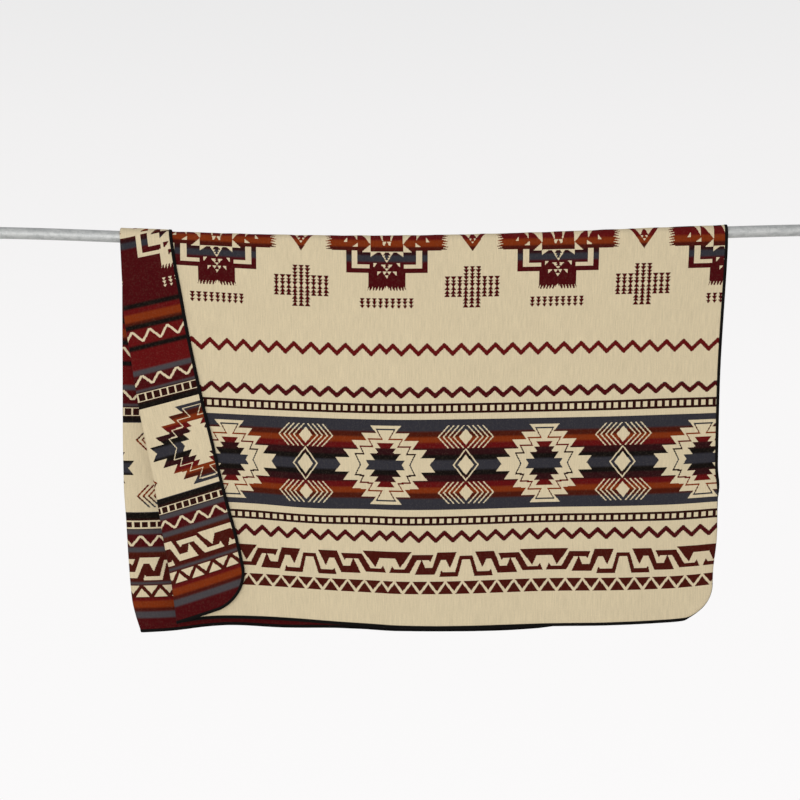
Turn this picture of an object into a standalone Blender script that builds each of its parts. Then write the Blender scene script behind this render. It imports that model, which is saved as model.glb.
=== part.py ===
# Throw blanket hanging over a rod.
#
# Metres, +Z up. The origin is the middle of the rod's left end face, +X runs along the rod, and the
# side that faces -Y is the front. The blanket is one woven sheet of 1.90 by 2.31 m with a folded
# tape all round its edge. It hangs over the rod with a front and a back panel, and a strip along its
# left side is turned over to the outside, front and back.
#
# Any spot of the flat cloth has two coordinates: "across", from the turned-over side's bound edge
# to the right edge, and "along", from the top of the rod down the front panel, negative down the
# back. place_on_drape() gives the spot's place in space, and both the cloth and its tape are lofted
# from it.

import math

import bmesh
import bpy
from mathutils import Vector

# Rod
ROD_LENGTH = 2.60
ROD_RADIUS = 0.017
ROD_SAG = 0.0332           # at the middle, below the two gripped ends
ROD_SAG_SKEW = 0.2         # the blanket hangs left of the middle, and so does the lowest point
ROD_GRIP = 0.020           # straight length at each end, in its bracket
ROD_STATIONS = 15
ROD_BEVEL_RESOLUTION = 6

# Blanket, cut flat
BLANKET_WIDTH = 1.900
FRONT_LENGTH = 1.150
BACK_LENGTH = 1.160
CORNER_RADIUS = 0.100
CLOTH_THICKNESS = 0.0025
PRESSED_THICKNESS = 0.0015     # under the tape
PATTERN_AXIS = 0.914           # across, to the woven pattern's line of symmetry

# Tape binding
TAPE_THICKNESS = 0.00075
TAPE_WIDTH = 0.009             # seen on each face
TAPE_HALF_GAP = 0.00198        # from the cloth's middle to the middle of the tape's own thickness
CLOTH_EDGE_INSET = 0.0022      # the cloth's edge stops short of the tape's fold

# Drape
DRAPE_RADIUS = 0.0203          # of the cloth's middle, over the rod
QUARTER_TURN = DRAPE_RADIUS * math.pi / 2
LEFT_FOLD_X = 0.4955           # the fold's outer side, on the rod
FLAP_EDGE_X = 0.643            # the turned-over strip's bound edge, on the rod
CLOTH_X_OFFSET = 0.3453        # an across of 0 would lie here, if nothing were turned over
FOLD_ACROSS = 0.149            # across, at the fold, on the rod
FOLD_DRIFT = 0.070             # how fast the front's fold wanders across the cloth
FOLD_RADIUS_ROD = 0.0025
FOLD_RADIUS_HEM = 0.0090
FLAP_EDGE_OUT_ROD = 0.0050     # from the main layer to the strip's edge
FLAP_EDGE_OUT_HEM = 0.0110
FLAP_BELLY = 0.0060            # how far the strip bows outward between fold and edge
FLAP_TILT_ROD = 0.034          # how much higher the strip's edge lies than its fold
FLAP_TILT_GROWTH = 0.038
FOLD_PULL_WIDTH = 0.245        # how far the fold's lean reaches into the main layer
ROD_GATHER = 0.010             # slight bunching on the rod, beside the fold
ROD_GATHER_START = 0.250
ROD_GATHER_WIDTH = 0.450
BACK_NARROWING = 1.15          # the back panel draws in a little more than the front
CURL_WIDTH = 0.045             # the front's lower right edge curls back
CURL_ANGLE = 0.60
CURL_ROWS = (0.68, 0.98, 1.15)     # along where it starts, is full, and is gone

# Left fold, front: (along, how far it leans to the right)
FRONT_FOLD_LEAN = ((0.0, 0.0), (0.17, 0.008), (0.27, 0.014), (0.37, 0.030), (0.53, 0.055),
                   (0.755, 0.0995), (0.91, 0.125), (1.03, 0.147), (1.15, 0.163))
# Left fold, back: the same
BACK_FOLD_LEAN = ((0.0, 0.0), (0.50, 0.0005), (0.735, 0.003), (0.83, 0.009), (0.945, 0.0155),
                  (1.06, 0.025), (1.11, 0.036), (1.16, 0.052))
# Strip's bound edge, front: (run below the rod's top, lean to the right)
FRONT_FLAP_LEAN = ((0.0, 0.0), (0.11, 0.0160), (0.19, 0.0310), (0.30, 0.051), (0.494, 0.0930),
                   (0.61, 0.121), (0.75, 0.1545), (0.893, 0.1925), (1.0, 0.2150), (1.075, 0.2285))
# Strip's bound edge, back: the same
BACK_FLAP_LEAN = ((0.0, 0.0), (0.12, -0.003), (0.50, -0.002), (0.735, 0.002), (0.95, 0.017),
                  (1.18, 0.053))
# Right edge: (along, how far it draws in to the left)
RIGHT_EDGE_LEAN = ((0.0, 0.0), (0.085, -0.001), (0.37, -0.019), (0.49, -0.0245), (0.80, -0.033),
                   (0.92, -0.036), (1.16, -0.040))
# Front hem: (x, how far soft folds lift it)
FRONT_HEM_LIFT = ((0.65, 0.009), (0.74, 0.026), (0.82, 0.031), (0.93, 0.029), (1.10, 0.0195),
                  (1.19, 0.0145), (1.29, 0.007), (1.42, 0.0035), (1.70, 0.0025), (2.06, 0.0),
                  (2.20, 0.008))
# Back hem: the same
BACK_HEM_LIFT = ((0.49, -0.019), (0.547, -0.0155), (0.645, -0.006), (0.735, 0.0075),
                 (0.82, 0.014), (0.96, 0.0125), (1.095, 0.014), (1.18, 0.0105), (1.29, 0.0025),
                 (1.50, 0.0005), (1.69, 0.0025), (1.79, 0.009), (2.0, 0.006), (2.25, 0.004))
FRONT_LIFT_START, FRONT_LIFT_FULL = 0.35, 0.95     # as shares of the panel's length
BACK_LIFT_START, BACK_LIFT_FULL = 0.0, 0.35

# Soft upright waves: (crest x, spacing, height at the hem)
FRONT_WAVES = ((0.80, 0.56, 0.0050), (1.15, 0.39, 0.0025))
BACK_WAVES = ((0.72, 0.61, 0.0060), (1.30, 0.43, 0.0030))
WAVE_RAMP = 0.55
# Single soft creases: (x, width, height at the hem, along where it starts)
FRONT_CREASES = ((1.155, 0.075, 0.0060, 0.45), (1.86, 0.080, 0.0040, 0.55))
BACK_CREASES = ((0.80, 0.085, 0.0070, 0.20), (1.75, 0.090, 0.0070, 0.35))

# Mesh spacing
ROD_ROW_STEP = QUARTER_TURN / 4
ROWS_BEHIND_TOP = 5
ROWS_BEFORE_TOP = 9
FRONT_ROWS = 12
BACK_ROWS = 11
CORNER_ROWS = (0.076, 0.050, 0.030, 0.014, 0.009, 0.0045)   # distances from the hem
SIDE_COLUMNS = (0.009, 0.014, 0.032)                 # distances from the side edges
FLAP_COLUMNS = 2
TURN_COLUMNS = 7
MAIN_COLUMNS = 22
CORNER_PIVOT = 0.250           # columns this near the right edge draw in at the rounded corners
CORNER_STATIONS = 10
ROUNDING = 1e-6


def smooth_step(value):
    value = min(max(value, 0.0), 1.0)
    return value * value * (3.0 - 2.0 * value)


def follow(table, key):
    # a smooth curve through a table's rows, level beyond its ends
    if key <= table[0][0]:
        return table[0][1]
    if key >= table[-1][0]:
        return table[-1][1]
    i = 0
    while table[i + 1][0] < key:
        i += 1

    def slope(j):
        low, high = max(j - 1, 0), min(j + 1, len(table) - 1)
        return (table[high][1] - table[low][1]) / (table[high][0] - table[low][0])

    gap = table[i + 1][0] - table[i][0]
    t = (key - table[i][0]) / gap
    start, end = table[i][1], table[i + 1][1]
    bend = (slope(i) * gap - (end - start)) * (1 - t) + ((end - start) - slope(i + 1) * gap) * t
    return start + (end - start) * t + t * (1 - t) * bend


def rod_drop(x):
    # how far the rod's middle line sags below its ends: a beam gripped at both ends
    half = ROD_LENGTH / 2 - ROD_GRIP
    q = (x - ROD_LENGTH / 2) / half
    if abs(q) >= 1.0:
        return 0.0
    return ROD_SAG * (1.0 - q * q) ** 2 * (1.0 - ROD_SAG_SKEW * q)


def depth_wave(x, drop, waves, creases):
    depth = 0.0
    for crest, spacing, height in waves:
        depth += height * math.cos(2 * math.pi * (x - crest) / spacing)
    depth *= smooth_step(drop / WAVE_RAMP)
    for middle, width, height, start in creases:
        share = smooth_step((drop - start) / (FRONT_LENGTH - start))
        depth += height * share * math.exp(-((x - middle) / width) ** 2)
    return depth


def hang(x, run, out):
    # wraps a spot over the rod: run is measured from its top, out from the main layer
    radius = DRAPE_RADIUS + out
    drop = abs(run) - QUARTER_TURN
    if drop <= 0.0:
        angle = run / DRAPE_RADIUS
        return Vector((x, -radius * math.sin(angle), radius * math.cos(angle) - rod_drop(x)))
    if run > 0.0:
        y = -(radius + depth_wave(x, drop, FRONT_WAVES, FRONT_CREASES))
    else:
        y = radius + depth_wave(x, drop, BACK_WAVES, BACK_CREASES)
    return Vector((x, y, -rod_drop(x) - drop))


def lift_at(x, along):
    if along >= 0.0:
        share = (along / FRONT_LENGTH - FRONT_LIFT_START) / (FRONT_LIFT_FULL - FRONT_LIFT_START)
        return follow(FRONT_HEM_LIFT, x) * smooth_step(share)
    share = (-along / BACK_LENGTH - BACK_LIFT_START) / (BACK_LIFT_FULL - BACK_LIFT_START)
    return follow(BACK_HEM_LIFT, x) * smooth_step(share)


def run_at(x, along):
    # the lift shortens the way down from the rod
    return along - lift_at(x, along) if along >= 0.0 else along + lift_at(x, along)


def fold_across(along):
    return FOLD_ACROSS + FOLD_DRIFT * max(along, 0.0)


def fold_radius(along):
    share = smooth_step(abs(along) / FRONT_LENGTH)
    return FOLD_RADIUS_ROD + (FOLD_RADIUS_HEM - FOLD_RADIUS_ROD) * share


def fold_x(along):
    table = FRONT_FOLD_LEAN if along >= 0.0 else BACK_FOLD_LEAN
    return LEFT_FOLD_X + follow(table, abs(along))


def free_main_x(across, along):
    # where the main layer would lie if the fold did not pull on it
    drawn_in = follow(RIGHT_EDGE_LEAN, abs(along))
    if along < 0.0:
        drawn_in *= BACK_NARROWING
    gather = ROD_GATHER * math.exp(-(across - ROD_GATHER_START) / ROD_GATHER_WIDTH)
    share = (across - PATTERN_AXIS) / (BLANKET_WIDTH - PATTERN_AXIS)
    return CLOTH_X_OFFSET + across + gather + drawn_in * share


def curl_back(across, along):
    # the lower right edge rolls back: how much x it loses, and how far back it goes
    rolled = CURL_WIDTH - (BLANKET_WIDTH - across)
    start, full, end = CURL_ROWS
    share = smooth_step((along - start) / (full - start)) * smooth_step((end - along) / (end - full))
    if rolled <= 0.0 or share <= 0.0:
        return 0.0, 0.0
    bend = CURL_ANGLE * share / CURL_WIDTH
    lost = rolled - math.sin(bend * rolled) / bend
    back = (1.0 - math.cos(bend * rolled)) / bend
    return lost, back


def flap_edge(along, fold_run):
    # x and run of the strip's bound edge, level with the fold at the same along
    run = fold_run - (FLAP_TILT_ROD + FLAP_TILT_GROWTH * along)
    table = FRONT_FLAP_LEAN if run >= 0.0 else BACK_FLAP_LEAN
    return FLAP_EDGE_X + follow(table, abs(run)), run


def place_on_drape(across, along):
    radius = fold_radius(along)
    half_turn = radius * math.pi / 2
    from_fold = across - fold_across(along)
    outer_x = fold_x(along)

    if from_fold >= half_turn:
        turn_end = fold_across(along) + half_turn
        pull = outer_x + radius - free_main_x(turn_end, along)
        x = free_main_x(across, along) + pull * math.exp((turn_end - across) / FOLD_PULL_WIDTH)
        lost, back = curl_back(across, along)
        return hang(x - lost, run_at(x, along), -back)

    if from_fold > 0.0:
        angle = from_fold / radius
        x = outer_x + radius * (1.0 - math.cos(angle))
        return hang(x, run_at(x, along), radius * (1.0 - math.sin(angle)))

    fold_run = run_at(outer_x, along)
    edge_x, edge_run = flap_edge(along, fold_run)
    if from_fold > -half_turn:
        angle = from_fold / radius
        x = outer_x + radius * (1.0 - math.cos(angle))
        out = radius * (1.0 - math.sin(angle))
    else:
        share = (-from_fold - half_turn) / (fold_across(along) - half_turn)
        x = outer_x + radius + (edge_x - outer_x - radius) * share
        hem_share = smooth_step(abs(along) / FRONT_LENGTH)
        edge_out = FLAP_EDGE_OUT_ROD + (FLAP_EDGE_OUT_HEM - FLAP_EDGE_OUT_ROD) * hem_share
        out = 2 * radius + (edge_out - 2 * radius) * share
        out += FLAP_BELLY * hem_share * math.sin(math.pi * share)
    run = fold_run + (edge_run - fold_run) * (x - outer_x) / (edge_x - outer_x)
    return hang(x, run, out)


def corner_inset(from_hem, cut_in):
    # how far the rounded outline, cut_in inside the blanket's own, stands in from the side
    reach = CORNER_RADIUS - max(min(from_hem, CORNER_RADIUS), cut_in)
    arc = CORNER_RADIUS - cut_in
    return CORNER_RADIUS - math.sqrt(max(arc * arc - reach * reach, 0.0))


def row_places():
    # along values, back hem to front hem, in the blanket's own outline
    back_hem, front_hem = -BACK_LENGTH, FRONT_LENGTH
    rod_rows = [ROD_ROW_STEP * k for k in range(-ROWS_BEHIND_TOP, ROWS_BEFORE_TOP + 1)]
    back_start, back_end = back_hem + CORNER_RADIUS, rod_rows[0]
    front_start, front_end = rod_rows[-1], front_hem - CORNER_RADIUS
    rows = [back_hem + CLOTH_EDGE_INSET]
    rows += [back_hem + d for d in reversed(CORNER_ROWS)]
    rows += [back_start + (back_end - back_start) * k / BACK_ROWS for k in range(BACK_ROWS)]
    rows += rod_rows
    rows += [front_start + (front_end - front_start) * k / FRONT_ROWS
             for k in range(1, FRONT_ROWS + 1)]
    rows += [front_hem - d for d in CORNER_ROWS]
    rows.append(front_hem - CLOTH_EDGE_INSET)
    return rows


def column_places(along, inset):
    # across values, bound strip edge to right edge, for a row whose ends stand in by inset
    fold = fold_across(along)
    half_turn = fold_radius(along) * math.pi / 2
    edge = [CLOTH_EDGE_INSET, *SIDE_COLUMNS]
    near_right = [BLANKET_WIDTH - d for d in reversed(edge)]
    flap_start, flap_end = edge[-1], fold - half_turn
    flap = [flap_start + (flap_end - flap_start) * k / (FLAP_COLUMNS + 1)
            for k in range(1, FLAP_COLUMNS + 1)]
    turn = [flap_end + 2 * half_turn * k / TURN_COLUMNS for k in range(TURN_COLUMNS + 1)]
    main_start, main_end = turn[-1], near_right[0]
    main = [main_start + (main_end - main_start) * k / (MAIN_COLUMNS + 1)
            for k in range(1, MAIN_COLUMNS + 1)]

    def draw_in(from_side, pivot):
        # squeezes the columns between a side and a pivot line into what the corner leaves
        if from_side >= pivot:
            return from_side
        return pivot - (pivot - from_side) * (pivot - inset) / (pivot - CLOTH_EDGE_INSET)

    left_half = [draw_in(across, flap_end) for across in edge + flap] + turn
    right_half = [BLANKET_WIDTH - draw_in(BLANKET_WIDTH - across, CORNER_PIVOT)
                  for across in main + near_right]
    return left_half + right_half


def hem_distance(along):
    return min(FRONT_LENGTH - along, BACK_LENGTH + along)


def edge_distance(across, along):
    # from the rounded outline, inward
    side = min(across, BLANKET_WIDTH - across)
    hem = hem_distance(along)
    if side >= CORNER_RADIUS or hem >= CORNER_RADIUS:
        return min(side, hem)
    return CORNER_RADIUS - math.hypot(CORNER_RADIUS - side, CORNER_RADIUS - hem)


def add_material(obj, name, colour, roughness, metallic):
    material = bpy.data.materials.new(name)
    material.use_nodes = True
    shader = material.node_tree.nodes["Principled BSDF"]
    shader.inputs["Base Color"].default_value = (*colour, 1.0)
    shader.inputs["Roughness"].default_value = roughness
    shader.inputs["Metallic"].default_value = metallic
    obj.data.materials.append(material)


def loft_sheet(name, rows, ring):
    # a sheet of four-sided faces through rows of points; ring joins the last row to the first
    mesh = bpy.data.meshes.new(name)
    bm = bmesh.new()
    grid = [[bm.verts.new(point) for point in row] for row in rows]
    count = len(grid)
    for i in range(count if ring else count - 1):
        this_row, next_row = grid[i], grid[(i + 1) % count]
        for j in range(len(this_row) - 1):
            bm.faces.new((this_row[j], this_row[j + 1], next_row[j + 1], next_row[j]))
    bm.normal_update()
    bm.to_mesh(mesh)
    bm.free()
    mesh.shade_smooth()
    return bpy.data.objects.new(name, mesh)


def thicken(obj, thickness, rim_group=None, thin_share=1.0):
    solidify = obj.modifiers.new("thickness", "SOLIDIFY")
    solidify.thickness = thickness
    solidify.offset = 0.0
    solidify.use_even_offset = True
    if rim_group:
        solidify.vertex_group = rim_group
        solidify.thickness_vertex_group = thin_share
    # twisted four-sided faces are split the same way in the cloth and in its tape
    split = obj.modifiers.new("split", "TRIANGULATE")
    split.quad_method = "BEAUTY"


def build_cloth(collection):
    flat_rows = []
    for along in row_places():
        inset = corner_inset(hem_distance(along), CLOTH_EDGE_INSET)
        flat_rows.append([(across, along) for across in column_places(along, inset)])
    cloth = loft_sheet("blanket_cloth", [[place_on_drape(*spot) for spot in row]
                                         for row in flat_rows], ring=False)
    full = cloth.vertex_groups.new(name="full_thickness")
    flat_spots = [spot for row in flat_rows for spot in row]
    for index, spot in enumerate(flat_spots):
        if edge_distance(*spot) > TAPE_WIDTH + ROUNDING:
            full.add([index], 1.0, "REPLACE")
    thicken(cloth, CLOTH_THICKNESS, full.name, PRESSED_THICKNESS / CLOTH_THICKNESS)
    add_material(cloth, "woven cotton", (0.60, 0.48, 0.31), 0.95, 0.0)
    collection.objects.link(cloth)


def outline_stations():
    # spots on the blanket's outline with their inward directions, once round
    stations = []
    side_rows = [along for along in row_places() if hem_distance(along) > CORNER_RADIUS - ROUNDING]
    corner = CORNER_RADIUS

    def hem_columns(along):
        columns = column_places(along, CORNER_RADIUS)
        return [across for across in columns
                if CORNER_RADIUS + ROUNDING < across < BLANKET_WIDTH - CORNER_RADIUS - ROUNDING]

    def add_corner(centre_across, centre_along, start_angle):
        for k in range(CORNER_STATIONS + 1):
            angle = start_angle + math.pi / 2 * k / CORNER_STATIONS
            towards = (-math.cos(angle), -math.sin(angle))
            spot = (centre_across - corner * towards[0], centre_along - corner * towards[1])
            stations.append((spot, towards))

    for along in side_rows[1:-1]:
        stations.append(((BLANKET_WIDTH, along), (-1.0, 0.0)))
    add_corner(BLANKET_WIDTH - corner, FRONT_LENGTH - corner, 0.0)
    for across in reversed(hem_columns(FRONT_LENGTH)):
        stations.append(((across, FRONT_LENGTH), (0.0, -1.0)))
    add_corner(corner, FRONT_LENGTH - corner, math.pi / 2)
    for along in reversed(side_rows[1:-1]):
        stations.append(((0.0, along), (1.0, 0.0)))
    add_corner(corner, -BACK_LENGTH + corner, math.pi)
    for across in hem_columns(-BACK_LENGTH):
        stations.append(((across, -BACK_LENGTH), (0.0, 1.0)))
    add_corner(BLANKET_WIDTH - corner, -BACK_LENGTH + corner, 1.5 * math.pi)
    return stations


def drape_normal(across, along):
    step = 0.0008
    low_u, high_u = max(across - step, 0.0), min(across + step, BLANKET_WIDTH)
    du = place_on_drape(high_u, along) - place_on_drape(low_u, along)
    dw = place_on_drape(across, along + step) - place_on_drape(across, along - step)
    return du.cross(dw).normalized()


def build_binding(collection):
    middle = TAPE_THICKNESS / 2
    rows = []
    for (across, along), (in_across, in_along) in outline_stations():
        inner = (across + in_across * TAPE_WIDTH, along + in_along * TAPE_WIDTH)
        outer = (across + in_across * middle, along + in_along * middle)
        inner_point, outer_point = place_on_drape(*inner), place_on_drape(*outer)
        inner_normal, outer_normal = drape_normal(*inner), drape_normal(*outer)
        rows.append([inner_point + inner_normal * TAPE_HALF_GAP,
                     outer_point + outer_normal * TAPE_HALF_GAP,
                     outer_point - outer_normal * TAPE_HALF_GAP,
                     inner_point - inner_normal * TAPE_HALF_GAP])
    binding = loft_sheet("edge_binding", rows, ring=True)
    thicken(binding, TAPE_THICKNESS)
    add_material(binding, "woven tape", (0.010, 0.009, 0.008), 0.85, 0.0)
    collection.objects.link(binding)


def build_rod(collection):
    curve = bpy.data.curves.new("rod", "CURVE")
    curve.dimensions = "3D"
    curve.bevel_depth = ROD_RADIUS
    curve.bevel_resolution = ROD_BEVEL_RESOLUTION
    curve.use_fill_caps = True
    span = ROD_LENGTH - 2 * ROD_GRIP
    stations = [0.0] + [ROD_GRIP + span * k / ROD_STATIONS for k in range(ROD_STATIONS + 1)]
    stations.append(ROD_LENGTH)
    spline = curve.splines.new("POLY")
    spline.points.add(len(stations) - 1)
    for point, x in zip(spline.points, stations):
        point.co = (x, 0.0, -rod_drop(x), 1.0)
    rod = bpy.data.objects.new("rod", curve)
    add_material(rod, "galvanised steel", (0.40, 0.41, 0.41), 0.45, 1.0)
    collection.objects.link(rod)


def main():
    for obj in list(bpy.data.objects):
        bpy.data.objects.remove(obj, do_unlink=True)
    collection = bpy.data.collections.new("throw blanket on a rod")
    bpy.context.scene.collection.children.link(collection)
    build_rod(collection)
    build_cloth(collection)
    build_binding(collection)


main()
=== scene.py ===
import functools
import math

import bpy
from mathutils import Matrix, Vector


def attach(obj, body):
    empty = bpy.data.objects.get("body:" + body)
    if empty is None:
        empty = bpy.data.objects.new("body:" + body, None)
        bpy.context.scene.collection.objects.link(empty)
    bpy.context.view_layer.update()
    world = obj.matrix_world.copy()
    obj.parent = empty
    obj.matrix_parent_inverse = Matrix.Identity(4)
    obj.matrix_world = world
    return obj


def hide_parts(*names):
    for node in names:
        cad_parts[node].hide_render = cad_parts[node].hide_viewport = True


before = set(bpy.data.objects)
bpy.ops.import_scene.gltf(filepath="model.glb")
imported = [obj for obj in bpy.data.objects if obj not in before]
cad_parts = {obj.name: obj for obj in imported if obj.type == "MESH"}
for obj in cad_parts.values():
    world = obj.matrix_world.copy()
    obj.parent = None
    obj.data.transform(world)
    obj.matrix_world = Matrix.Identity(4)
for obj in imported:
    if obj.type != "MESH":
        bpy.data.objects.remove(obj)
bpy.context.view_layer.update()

# Throw blanket over a rod: a reversible jacquard cloth with a black tape round its edge, and a
# galvanised tube. Metres, +Z up, the front faces -Y, +X runs along the rod from its left end.
#
# A spot of the flat cloth is (across, along): across from the turned-over side's edge, along from
# the rod's top, down the front, and negative down the back.

camera = {
    "place": (1.30, -4.8137, -0.4874),
    "roll": 0.003,
    "lens": 50.0,
    "sensor": 24.0,
}

rod = {
    "length": 2.60,
    "radius": 0.017,
    "wall": 0.0015,
    "bore": 0.080,            # how deep the open ends are modelled
    "sag": 0.0332,
    "sagSkew": 0.2,
    "grip": 0.020,
    "sides": 48,
    "stations": 90,
}

blanket = {
    "width": 1.900,
    "frontLength": 1.150,
    "backLength": 1.160,
    "cornerRadius": 0.100,
    "thickness": 0.0025,
    "pressed": 0.0017,        # thickness under the tape
    "pressedReach": (0.008, 0.006),      # how far in from the edge, and eased over this much
    "edgeInset": 0.0015,      # the cloth's own edge, inside the tape's fold
    "patternAxis": 0.914,
    "radius": 0.0203,         # of the cloth's middle, over the rod
}

drape = {
    "leftFoldX": 0.4955,
    "flapEdgeX": 0.643,
    "offsetX": 0.3453,
    "foldAcross": 0.149,
    "foldDrift": 0.070,
    "foldRadius": (0.0025, 0.0090),      # on the rod, at the hem
    "flapEdgeOut": (0.0050, 0.0110),
    "flapBelly": 0.0060,
    "flapTilt": (0.034, 0.038),
    "pullWidth": 0.245,
    "gather": (0.010, 0.250, 0.450),     # size, start, width
    "backNarrowing": 1.15,
    "curl": (0.045, 0.60),               # width, angle of the rolled right edge
    "curlRows": (0.68, 0.98, 1.15),
    "waveRamp": 0.55,
    "frontLift": (0.35, 0.95),
    "backLift": (0.0, 0.35),
    # (along, lean to the right)
    "frontFoldLean": ((0.0, 0.0), (0.17, 0.008), (0.27, 0.014), (0.37, 0.030), (0.53, 0.055),
                      (0.755, 0.0995), (0.91, 0.125), (1.03, 0.147), (1.15, 0.163)),
    "backFoldLean": ((0.0, 0.0), (0.50, 0.0005), (0.735, 0.003), (0.83, 0.009), (0.945, 0.0155),
                     (1.06, 0.025), (1.11, 0.036), (1.16, 0.052)),
    "frontFlapLean": ((0.0, 0.0), (0.11, 0.0160), (0.19, 0.0310), (0.30, 0.051), (0.494, 0.0930),
                      (0.61, 0.121), (0.75, 0.1545), (0.893, 0.1925), (1.0, 0.2150),
                      (1.075, 0.2285)),
    "backFlapLean": ((0.0, 0.0), (0.12, -0.003), (0.50, -0.002), (0.735, 0.002), (0.95, 0.017),
                     (1.18, 0.053)),
    "rightEdgeLean": ((0.0, 0.0), (0.085, -0.001), (0.37, -0.019), (0.49, -0.0245),
                      (0.80, -0.033), (0.92, -0.036), (1.16, -0.040)),
    # (along, how far the right side lies further out): the front gives what its rolled edge takes
    # up, and the back's corner hides behind the front's
    "rightAllowance": ((-1.16, -0.013), (-0.98, 0.0), (0.70, 0.0), (0.80, 0.0105), (0.92, 0.0145),
                       (1.03, 0.004), (1.16, 0.002)),
    # (x, lift of the hem)
    "frontHemLift": ((0.65, 0.009), (0.74, 0.026), (0.82, 0.031), (0.93, 0.029), (1.10, 0.0195),
                     (1.19, 0.0145), (1.29, 0.007), (1.42, 0.0035), (1.70, 0.0025), (2.06, 0.0),
                     (2.20, 0.008)),
    "backHemLift": ((0.49, -0.019), (0.547, -0.0155), (0.645, -0.006), (0.735, 0.0075),
                    (0.82, 0.014), (0.96, 0.0125), (1.095, 0.014), (1.18, 0.0105),
                    (1.29, 0.0025), (1.50, 0.0005), (1.69, 0.0025), (1.79, 0.009), (2.0, 0.006),
                    (2.25, 0.004)),
    # (crest x, spacing, height at the hem)
    "frontWaves": ((0.80, 0.56, 0.0050), (1.15, 0.39, 0.0025)),
    "backWaves": ((0.72, 0.61, 0.0060), (1.30, 0.43, 0.0030)),
    # (x, width, height at the hem, along where it starts)
    "frontCreases": ((1.155, 0.075, 0.0060, 0.45), (1.86, 0.080, 0.0040, 0.55)),
    "backCreases": ((0.80, 0.085, 0.0070, 0.20), (1.75, 0.090, 0.0070, 0.35)),
}

quarterTurn = blanket["radius"] * math.pi / 2


def smoothStep(value):
    value = min(max(value, 0.0), 1.0)
    return value * value * (3.0 - 2.0 * value)


def follow(table, key):
    # a smooth curve through a table's rows, level beyond its ends
    if key <= table[0][0]:
        return table[0][1]
    if key >= table[-1][0]:
        return table[-1][1]
    i = 0
    while table[i + 1][0] < key:
        i += 1
    last = len(table) - 1
    before, after = table[max(i - 1, 0)], table[min(i + 2, last)]
    here, there = table[i], table[i + 1]
    gap = there[0] - here[0]
    rise = there[1] - here[1]
    slopeHere = (there[1] - before[1]) / (there[0] - before[0]) * gap
    slopeThere = (after[1] - here[1]) / (after[0] - here[0]) * gap
    t = (key - here[0]) / gap
    return here[1] + rise * t + t * (1 - t) * ((slopeHere - rise) * (1 - t) + (rise - slopeThere) * t)


def rodDrop(x):
    half = rod["length"] / 2 - rod["grip"]
    q = (x - rod["length"] / 2) / half
    if abs(q) >= 1.0:
        return 0.0
    return rod["sag"] * (1.0 - q * q) ** 2 * (1.0 - rod["sagSkew"] * q)


def depthWave(x, drop, waves, creases):
    depth = 0.0
    for crest, spacing, height in waves:
        depth += height * math.cos(2 * math.pi * (x - crest) / spacing)
    depth *= smoothStep(drop / drape["waveRamp"])
    for middle, width, height, start in creases:
        share = smoothStep((drop - start) / (blanket["frontLength"] - start))
        depth += height * share * math.exp(-((x - middle) / width) ** 2)
    return depth


def hang(x, run, out):
    # over the rod and down: run is measured from its top, out from the main layer
    radius = blanket["radius"] + out
    drop = abs(run) - quarterTurn
    if drop <= 0.0:
        angle = run / blanket["radius"]
        return Vector((x, -radius * math.sin(angle), radius * math.cos(angle) - rodDrop(x)))
    if run > 0.0:
        y = -(radius + depthWave(x, drop, drape["frontWaves"], drape["frontCreases"]))
    else:
        y = radius + depthWave(x, drop, drape["backWaves"], drape["backCreases"])
    return Vector((x, y, -rodDrop(x) - drop))


def runAt(x, along):
    if along >= 0.0:
        start, full = drape["frontLift"]
        share = (along / blanket["frontLength"] - start) / (full - start)
        return along - follow(drape["frontHemLift"], x) * smoothStep(share)
    start, full = drape["backLift"]
    share = (-along / blanket["backLength"] - start) / (full - start)
    return along + follow(drape["backHemLift"], x) * smoothStep(share)


def foldAcross(along):
    return drape["foldAcross"] + drape["foldDrift"] * max(along, 0.0)


def foldRadius(along):
    onRod, atHem = drape["foldRadius"]
    return onRod + (atHem - onRod) * smoothStep(abs(along) / blanket["frontLength"])


def freeMainX(across, along):
    # where the main layer would lie if the fold did not pull on it
    drawnIn = follow(drape["rightEdgeLean"], abs(along))
    if along < 0.0:
        drawnIn *= drape["backNarrowing"]
    drawnIn += follow(drape["rightAllowance"], along)
    size, start, width = drape["gather"]
    gather = size * math.exp(-(across - start) / width)
    share = (across - blanket["patternAxis"]) / (blanket["width"] - blanket["patternAxis"])
    return drape["offsetX"] + across + gather + drawnIn * share


def curlBack(across, along):
    width, angle = drape["curl"]
    rolled = width - (blanket["width"] - across)
    start, full, end = drape["curlRows"]
    share = smoothStep((along - start) / (full - start)) * smoothStep((end - along) / (end - full))
    if rolled <= 0.0 or share <= 0.0:
        return 0.0, 0.0
    bend = angle * share / width
    return rolled - math.sin(bend * rolled) / bend, (1.0 - math.cos(bend * rolled)) / bend


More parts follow.
